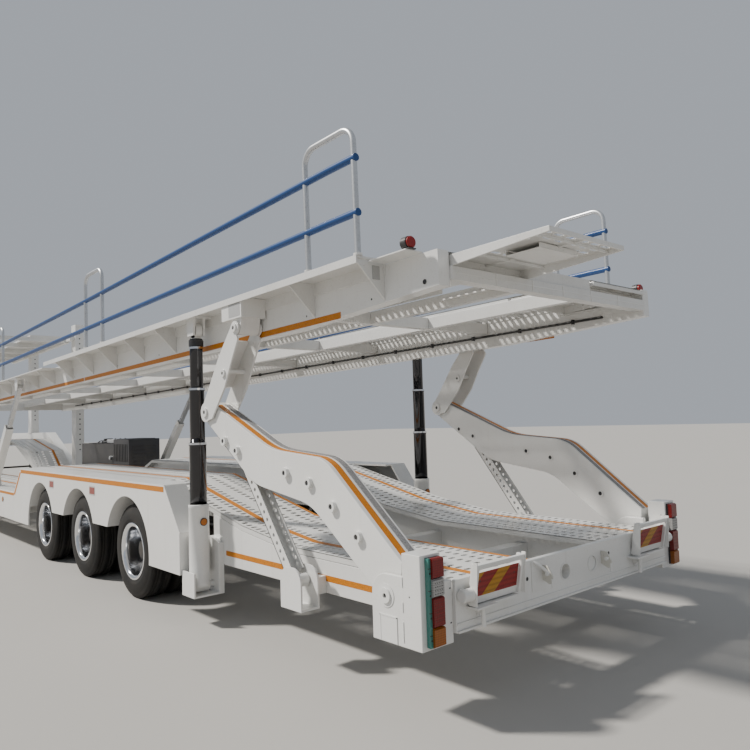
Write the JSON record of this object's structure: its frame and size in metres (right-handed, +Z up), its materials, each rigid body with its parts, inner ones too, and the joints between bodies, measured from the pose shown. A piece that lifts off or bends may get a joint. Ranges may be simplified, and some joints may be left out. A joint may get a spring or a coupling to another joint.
{
  "type": "car transporter semi-trailer",
  "caption": "Two-deck car transporter semi-trailer with a hinged upper deck on S-shaped lifting arms, telescopic cylinders, a lifting front deck, loading flaps and twin wheels.",
  "frame": {"origin": "on the ground, on the centre line, at mid-length", "axes": "+X forward towards the kingpin, +Y to the left, +Z up"},
  "size_m": [17.1807, 2.5, 3.48],
  "materials": {
    "white_paint": "satin",
    "deck_paint": "satin",
    "lower_track_paint": "satin",
    "rail_blue": "satin",
    "brace_galvanised": "satin",
    "polished_rod": "gloss",
    "running_gear": "satin",
    "rim_aluminium": "gloss",
    "tyre_rubber": "matte",
    "lamp_plastic": "gloss",
    "pack_black": "satin"
  },
  "bodies": {
    "chassis": {"main_rails": "white_paint", "tail_rails": "white_paint", "cross_members": "white_paint", "side_sills": "white_paint", "lower_tracks": "lower_track_paint", "fender_panels": "white_paint", "tail_crossbeam": "white_paint", "tail_posts": "white_paint", "tail_lamps": "lamp_plastic", "ramp_ends": "white_paint", "axles": "running_gear", "suspension": "running_gear", "landing_legs": "running_gear", "kingpin": "running_gear", "front_columns": "white_paint", "power_pack": "pack_black", "side_carriers": "white_paint"},
    "rear_deck": {"deck_beams": "white_paint", "deck_cross": "deck_paint", "deck_tracks": "deck_paint", "deck_walkways": "deck_paint", "deck_handrails": "rail_blue", "deck_brackets": "white_paint", "deck_cable": "pack_black"},
    "front_deck": {"front_deck": "deck_paint"},
    "flap_left": {"flap_left": "deck_paint"},
    "flap_right": {"flap_right": "deck_paint"},
    "arm_left": {"lifting_arm_left": "white_paint"},
    "link_left": {"deck_link_left": "white_paint"},
    "prop_left": {"prop_left": "white_paint"},
    "barrel_left": {"barrel_left": "white_paint"},
    "stage_1_left": {"stage_1_left": "polished_rod"},
    "stage_2_left": {"stage_2_left": "polished_rod"},
    "stage_3_left": {"stage_3_left": "polished_rod"},
    "sleeve_left": {"brace_sleeve_left": "white_paint"},
    "bar_left": {"brace_bar_left": "brace_galvanised"},
    "arm_right": {"lifting_arm_right": "white_paint"},
    "link_right": {"deck_link_right": "white_paint"},
    "prop_right": {"prop_right": "white_paint"},
    "barrel_right": {"barrel_right": "white_paint"},
    "stage_1_right": {"stage_1_right": "polished_rod"},
    "stage_2_right": {"stage_2_right": "polished_rod"},
    "stage_3_right": {"stage_3_right": "polished_rod"},
    "sleeve_right": {"brace_sleeve_right": "white_paint"},
    "bar_right": {"brace_bar_right": "brace_galvanised"},
    "wheel_1_left": {"tyres_1_left": "tyre_rubber", "rims_1_left": "rim_aluminium"},
    "wheel_1_right": {"tyres_1_right": "tyre_rubber", "rims_1_right": "rim_aluminium"},
    "wheel_2_left": {"tyres_2_left": "tyre_rubber", "rims_2_left": "rim_aluminium"},
    "wheel_2_right": {"tyres_2_right": "tyre_rubber", "rims_2_right": "rim_aluminium"},
    "wheel_3_left": {"tyres_3_left": "tyre_rubber", "rims_3_left": "rim_aluminium"},
    "wheel_3_right": {"tyres_3_right": "tyre_rubber", "rims_3_right": "rim_aluminium"}
  },
  "joints": [
    {"name": "deck_tilt", "type": "hinge", "parent": "chassis", "child": "rear_deck", "pos_m": [3.88501, 0, 1.87004], "axis": [0, -1, 0], "range_deg": [0, 3.5]},
    {"name": "arm_pivot_left", "type": "hinge", "parent": "chassis", "child": "arm_left", "pos_m": [-7.77506, 0, 0.568], "axis": [0, -1, 0], "range_deg": [-13.68, 0]},
    {"name": "link_pivot_left", "type": "hinge", "parent": "rear_deck", "child": "link_left", "pos_m": [-6.38106, 0, 2.028], "axis": [0, -1, 0], "range_deg": [0, 16.67]},
    {"name": "prop_pivot_left", "type": "hinge", "parent": "chassis", "child": "prop_left", "pos_m": [-6.91006, 0, 0.49], "axis": [0, -1, 0], "range_deg": [-21.02, 0]},
    {"name": "cylinder_pivot_left", "type": "hinge", "parent": "chassis", "child": "barrel_left", "pos_m": [-5.65506, 0, 0.262], "axis": [0, -1, 0], "range_deg": [-0.1716, 0]},
    {"name": "sleeve_pivot_left", "type": "hinge", "parent": "chassis", "child": "sleeve_left", "pos_m": [0.13994, 0, 0.76], "axis": [0, -1, 0], "range_deg": [0, 8.22]},
    {"name": "bar_pivot_left", "type": "hinge", "parent": "rear_deck", "child": "bar_left", "pos_m": [-1.06006, 0, 1.94], "axis": [0, -1, 0], "range_deg": [0, 4.72]},
    {"name": "cylinder_slide_1_left", "type": "slide", "parent": "barrel_left", "child": "stage_1_left", "axis": [0, 0, 1], "range_m": [-0.19447, 0]},
    {"name": "cylinder_slide_2_left", "type": "slide", "parent": "stage_1_left", "child": "stage_2_left", "axis": [0, 0, 1], "range_m": [-0.19447, 0]},
    {"name": "cylinder_slide_3_left", "type": "slide", "parent": "stage_2_left", "child": "stage_3_left", "axis": [0, 0, 1], "range_m": [-0.19447, 0]},
    {"name": "arm_pivot_right", "type": "hinge", "parent": "chassis", "child": "arm_right", "pos_m": [-7.77506, 0, 0.568], "axis": [0, -1, 0], "range_deg": [-13.68, 0]},
    {"name": "link_pivot_right", "type": "hinge", "parent": "rear_deck", "child": "link_right", "pos_m": [-6.38106, 0, 2.028], "axis": [0, -1, 0], "range_deg": [0, 16.67]},
    {"name": "prop_pivot_right", "type": "hinge", "parent": "chassis", "child": "prop_right", "pos_m": [-6.91006, 0, 0.49], "axis": [0, -1, 0], "range_deg": [-21.02, 0]},
    {"name": "cylinder_pivot_right", "type": "hinge", "parent": "chassis", "child": "barrel_right", "pos_m": [-5.65506, 0, 0.262], "axis": [0, -1, 0], "range_deg": [-0.1716, 0]},
    {"name": "sleeve_pivot_right", "type": "hinge", "parent": "chassis", "child": "sleeve_right", "pos_m": [0.13994, 0, 0.76], "axis": [0, -1, 0], "range_deg": [0, 8.22]},
    {"name": "bar_pivot_right", "type": "hinge", "parent": "rear_deck", "child": "bar_right", "pos_m": [-1.06006, 0, 1.94], "axis": [0, -1, 0], "range_deg": [0, 4.72]},
    {"name": "cylinder_slide_1_right", "type": "slide", "parent": "barrel_right", "child": "stage_1_right", "axis": [0, 0, 1], "range_m": [-0.19447, 0]},
    {"name": "cylinder_slide_2_right", "type": "slide", "parent": "stage_1_right", "child": "stage_2_right", "axis": [0, 0, 1], "range_m": [-0.19447, 0]},
    {"name": "cylinder_slide_3_right", "type": "slide", "parent": "stage_2_right", "child": "stage_3_right", "axis": [0, 0, 1], "range_m": [-0.19447, 0]},
    {"name": "flap_slide_left", "type": "slide", "parent": "rear_deck", "child": "flap_left", "axis": [0.9998, 0, -0.0204], "range_m": [0, 0.56]},
    {"name": "flap_slide_right", "type": "slide", "parent": "rear_deck", "child": "flap_right", "axis": [-0.9998, 0, 0.0204], "range_m": [0, 0.56]},
    {"name": "front_deck_slide", "type": "slide", "parent": "chassis", "child": "front_deck", "axis": [0, 0, -1], "range_m": [0, 1.05]},
    {"name": "wheel_1_left_spin", "type": "hinge", "parent": "chassis", "child": "wheel_1_left", "pos_m": [-4.58006, 0.975, 0.3835], "axis": [0, 1, 0], "continuous": true},
    {"name": "wheel_1_right_spin", "type": "hinge", "parent": "chassis", "child": "wheel_1_right", "pos_m": [-4.58006, -0.975, 0.3835], "axis": [0, 1, 0], "continuous": true},
    {"name": "wheel_2_left_spin", "type": "hinge", "parent": "chassis", "child": "wheel_2_left", "pos_m": [-3.38006, 0.975, 0.3835], "axis": [0, 1, 0], "continuous": true},
    {"name": "wheel_2_right_spin", "type": "hinge", "parent": "chassis", "child": "wheel_2_right", "pos_m": [-3.38006, -0.975, 0.3835], "axis": [0, 1, 0], "continuous": true},
    {"name": "wheel_3_left_spin", "type": "hinge", "parent": "chassis", "child": "wheel_3_left", "pos_m": [-2.18006, 0.975, 0.3835], "axis": [0, 1, 0], "continuous": true},
    {"name": "wheel_3_right_spin", "type": "hinge", "parent": "chassis", "child": "wheel_3_right", "pos_m": [-2.18006, -0.975, 0.3835], "axis": [0, 1, 0], "continuous": true}
  ],
  "couplings": [
    {"joint": "arm_pivot_left", "follows": "deck_tilt", "ratio": -3.9057},
    {"joint": "link_pivot_left", "follows": "deck_tilt", "ratio": 4.7567},
    {"joint": "prop_pivot_left", "follows": "deck_tilt", "ratio": -6},
    {"joint": "cylinder_pivot_left", "follows": "deck_tilt", "ratio": -0.04898},
    {"joint": "sleeve_pivot_left", "follows": "deck_tilt", "ratio": 2.347},
    {"joint": "bar_pivot_left", "follows": "deck_tilt", "ratio": 1.347},
    {"joint": "cylinder_slide_1_left", "follows": "deck_tilt", "m_per_rad": -3.1804},
    {"joint": "cylinder_slide_2_left", "follows": "deck_tilt", "m_per_rad": -3.1804},
    {"joint": "cylinder_slide_3_left", "follows": "deck_tilt", "m_per_rad": -3.1804},
    {"joint": "arm_pivot_right", "follows": "deck_tilt", "ratio": -3.9057},
    {"joint": "link_pivot_right", "follows": "deck_tilt", "ratio": 4.7567},
    {"joint": "prop_pivot_right", "follows": "deck_tilt", "ratio": -6},
    {"joint": "cylinder_pivot_right", "follows": "deck_tilt", "ratio": -0.04898},
    {"joint": "sleeve_pivot_right", "follows": "deck_tilt", "ratio": 2.347},
    {"joint": "bar_pivot_right", "follows": "deck_tilt", "ratio": 1.347},
    {"joint": "cylinder_slide_1_right", "follows": "deck_tilt", "m_per_rad": -3.1804},
    {"joint": "cylinder_slide_2_right", "follows": "deck_tilt", "m_per_rad": -3.1804},
    {"joint": "cylinder_slide_3_right", "follows": "deck_tilt", "m_per_rad": -3.1804}
  ]
}
